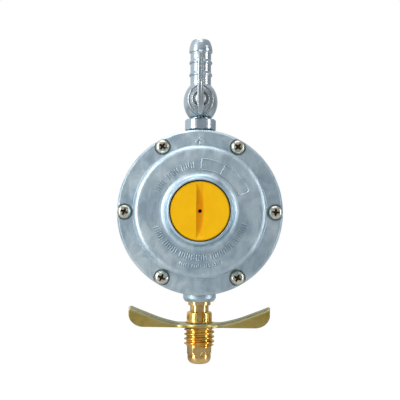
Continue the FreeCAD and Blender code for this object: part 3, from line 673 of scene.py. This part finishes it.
def cover_screws():
    """Six pan-head screws with worn cross recesses, each left at its own angle."""
    heads, recesses = Shape(), Shape()
    profile = [(0.0, -0.45), (1.7, -0.45), (1.75, -0.6), (1.75, SCREW_SEAT), (2.95, SCREW_SEAT),
               (3.25, -11.55), (3.25, -12.0), (3.14, -12.45), (2.86, -12.85), (2.5, -13.18), (2.0, -13.42),
               (1.4, -13.55), (0.7, -13.62), (0.0, -13.64)]
    star = [(0.46, 2.0), (0.62, 0.62), (2.0, 0.46), (2.0, -0.46), (0.62, -0.62), (0.46, -2.0), (-0.46, -2.0),
            (-0.62, -0.62), (-2.0, -0.46), (-2.0, 0.46), (-0.62, 0.62), (-0.46, 2.0)]
    for i, degrees in enumerate(SCREW_TURNS):
        angle = math.radians(30 + 60 * i)
        x, z = SCREW_RING * math.sin(angle), HOUSING.z / MM + SCREW_RING * math.cos(angle)
        heads.lathe(profile, (x, 0, z), "Y", 40)
        t = math.radians(degrees)

        def turned(a, b, d, x=x, z=z, t=t):
            return (x + a * math.cos(t) + b * math.sin(t), RECESS_FRONT + d,
                    z - a * math.sin(t) + b * math.cos(t))
        recesses.prism(star, turned, RECESS_REACH, RECESS_TAPER, 1)
    # The recess walls take the second material, painted shade.
    metals = [MATERIALS["plated_screws"], painted_recess_shade()]
    screws = heads.piece("pan_head_screws", metals, 40)
    cut(screws, recesses.piece("recess_cutter", metals), 40)
    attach(screws, "housing")
    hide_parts("cover_screws")


def ridge(shape, line, width, height, closed=False):
    """A raised line on the dome's face, along (radius, degrees clockwise from the top) points."""
    flat = [(r * math.sin(math.radians(a)), r * math.cos(math.radians(a))) for r, a in line]
    count = len(flat)
    verts = []
    for i, (x, z) in enumerate(flat):
        before = flat[(i - 1) % count] if closed or i else flat[i]
        after = flat[(i + 1) % count] if closed or i < count - 1 else flat[i]
        dx, dz = after[0] - before[0], after[1] - before[1]
        size = math.hypot(dx, dz)
        nx, nz = -dz / size, dx / size
        for across, up in ((-1.0, -0.12), (-0.8, 0.55 * height), (-0.35, height), (0.35, height),
                           (0.8, 0.55 * height), (1.0, -0.12)):
            side = across * width
            verts.append((x + nx * side, DOME_FACE - up, HOUSING.z / MM + z + nz * side))
    faces = grid_faces(count, 6, 0, closed, True)
    if not closed:
        last = (count - 1) * 6
        faces += [(0, 1, 2, 3, 4, 5), tuple(last + k for k in (5, 4, 3, 2, 1, 0))]
    shape.add(verts, faces)


def arc(radius, start, end, steps=28):
    return [(radius, start + (end - start) * i / steps) for i in range(steps + 1)]


def dome_relief():
    """A blank date frame with its divider, and plain raised bars round the dome's face."""
    frame_lines = Shape()
    inner, outer, start, end = 18.9, 23.8, 1.5, 68.0
    loop = arc(outer, start + 2, end - 2) + [(outer - 0.25, end - 0.7), (outer - 0.9, end)]
    loop += [(inner + 0.9, end), (inner + 0.25, end - 0.8)] + arc(inner, end - 2.5, start + 2.5)
    loop += [(inner + 0.25, start + 0.8), (inner + 0.9, start), (outer - 0.9, start)]
    loop.append((outer - 0.25, start + 0.6))
    ridge(frame_lines, loop, 0.34, 0.34, True)
    ridge(frame_lines, [(inner + 0.2, 28.5), (outer - 0.2, 28.5)], 0.3, 0.32)
    lines = frame_lines.piece("blank_date_frame", [MATERIALS["cast_zinc"]], 60)
    bars = Shape()
    # Each row: radius, bar length, first and last angle, step, and the places left empty.
    for radius, length, start, end, step, gaps in (
            (21.1, 2.6, -65.0, -8.0, 3.0, (6, 13)),
            (20.8, 2.7, 106.0, 252.0, 3.0, (9, 21, 34, 42)),
            (24.6, 1.4, 157.0, 203.0, 2.2, (5, 9, 15))):
        count = int((end - start) / step)
        for i in range(count + 1):
            if i in gaps:
                continue
            angle = start + step * i
            ridge(bars, [(radius - length / 2, angle), (radius + length / 2, angle)], 0.31, 0.4)
    marks = bars.piece("raised_bars", [MATERIALS["cast_zinc"]], 60)
    for piece in (lines, marks):
        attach(piece, "housing")


# ---------------------------------------------------------------- stage, light, camera

FLOOR_GLOW = 1.05
FLOOR_DROP = 0.24  # metres from the part's lowest point down to the floor


def floor_white():
    """A pale floor: plain white to the camera, matt light grey to everything else."""
    n = Nodes("floor_pale")
    colour = n.ramp(n.noise(0.004, 3.0, 0.5), [(0.3, (0.56, 0.56, 0.56)), (0.7, (0.60, 0.60, 0.60))])
    n.link(n.span(n.noise(0.02, 2.0, 0.5), 0.75, 0.85), n.shader.inputs["Roughness"])
    n.link(colour, n.shader.inputs["Base Color"])
    glow = n.add("ShaderNodeEmission")
    glow.inputs["Color"].default_value = (1, 1, 1, 1)
    glow.inputs["Strength"].default_value = FLOOR_GLOW
    path = n.add("ShaderNodeLightPath")
    mix = n.add("ShaderNodeMixShader")
    n.link(path.outputs["Is Camera Ray"], mix.inputs["Fac"])
    n.link(n.shader.outputs["BSDF"], mix.inputs[1])
    n.link(glow.outputs["Emission"], mix.inputs[2])
    n.link(mix.outputs["Shader"], n.tree.nodes["Material Output"].inputs["Surface"])
    return n.material


def floor():
    mesh = bpy.data.meshes.new("floor")
    bm = bmesh.new()
    bmesh.ops.create_grid(bm, x_segments=8, y_segments=8, size=3.0)
    bm.to_mesh(mesh)
    bm.free()
    obj = bpy.data.objects.new("floor", mesh)
    bpy.context.collection.objects.link(obj)
    obj.location = (0, 0, cad_box[0][2] - FLOOR_DROP)
    mesh.materials.append(floor_white())


def world():
    """Soft surroundings: bright above, behind and to the left, dimmer in front and low right."""
    w = bpy.data.worlds.new("studio")
    bpy.context.scene.world = w
    w.use_nodes = True
    tree = w.node_tree
    tree.nodes.clear()
    new = tree.nodes.new
    coords = new("ShaderNodeTexCoord")
    split = new("ShaderNodeSeparateXYZ")
    tree.links.new(coords.outputs["Generated"], split.inputs["Vector"])

    def scaled(socket, k):
        node = new("ShaderNodeMath")
        node.operation = "MULTIPLY"
        node.inputs[1].default_value = k
        tree.links.new(socket, node.inputs[0])
        return node.outputs[0]

    def plus(a, b):
        node = new("ShaderNodeMath")
        node.operation = "ADD"
        tree.links.new(a, node.inputs[0])
        tree.links.new(b, node.inputs[1])
        return node.outputs[0]

    side = plus(plus(scaled(split.outputs["X"], -0.34), scaled(split.outputs["Z"], 0.30)),
                scaled(split.outputs["Y"], 0.12))
    ramp = new("ShaderNodeValToRGB")
    half = new("ShaderNodeMath")
    half.operation = "ADD"
    half.inputs[1].default_value = 0.5
    tree.links.new(side, half.inputs[0])
    tree.links.new(half.outputs[0], ramp.inputs["Fac"])
    ramp.color_ramp.elements[0].position = 0.1
    ramp.color_ramp.elements[0].color = (0.22, 0.23, 0.25, 1)
    ramp.color_ramp.elements[1].position = 0.85
    ramp.color_ramp.elements[1].color = (1.0, 1.0, 1.0, 1)
    light = new("ShaderNodeBackground")
    tree.links.new(ramp.outputs["Color"], light.inputs["Color"])
    light.inputs["Strength"].default_value = 0.75
    plain = new("ShaderNodeBackground")
    plain.inputs["Color"].default_value = (1, 1, 1, 1)
    plain.inputs["Strength"].default_value = 1.0
    path = new("ShaderNodeLightPath")
    mix = new("ShaderNodeMixShader")
    tree.links.new(path.outputs["Is Camera Ray"], mix.inputs["Fac"])
    tree.links.new(light.outputs[0], mix.inputs[1])
    tree.links.new(plain.outputs[0], mix.inputs[2])
    out = new("ShaderNodeOutputWorld")
    tree.links.new(mix.outputs[0], out.inputs["Surface"])


def area(name, place, size, power):
    """A rectangular lamp at place, aimed at the housing."""
    light = bpy.data.lights.new(name, "AREA")
    light.shape = "RECTANGLE"
    light.size, light.size_y = size
    light.energy = power
    obj = bpy.data.objects.new(name, light)
    bpy.context.collection.objects.link(obj)
    obj.location = place
    obj.rotation_euler = (HOUSING - Vector(place)).to_track_quat("-Z", "Y").to_euler()


def lights():
    area("key_left", (-0.80, -0.55, 0.28), (0.26, 1.0), 5.3)
    area("fill_right", (0.85, -0.35, 0.15), (0.14, 0.9), 2.6)
    area("top", (-0.1, -0.15, 1.0), (0.8, 0.5), 2.6)


AIM_HEIGHT, CAMERA_DISTANCE = 64.2, 380
CAMERA_PITCH, CAMERA_ROLL = 3.0, 0.34


def camera():
    """Level with the housing's lower half, 380 mm away, looking up by three degrees."""
    data = bpy.data.cameras.new("camera")
    data.lens = 72
    data.sensor_width = 36
    data.clip_start = 0.01
    obj = bpy.data.objects.new("camera", data)
    bpy.context.collection.objects.link(obj)
    aim = Vector((0.0, 0, AIM_HEIGHT * MM))
    pitch = math.radians(CAMERA_PITCH)
    obj.location = aim + CAMERA_DISTANCE * MM * Vector((0, -math.cos(pitch), -math.sin(pitch)))
    look = (aim - obj.location).to_track_quat("-Z", "Y").to_matrix().to_4x4()
    roll = Matrix.Rotation(math.radians(CAMERA_ROLL), 4, "Z")
    obj.matrix_world = Matrix.Translation(obj.location) @ look @ roll
    bpy.context.scene.camera = obj


wing_sleeve()
wing_plate()
tap_lever()
cover_screws()
dome_relief()
floor()
world()
lights()
camera()
bpy.context.scene.view_settings.view_transform = "Standard"
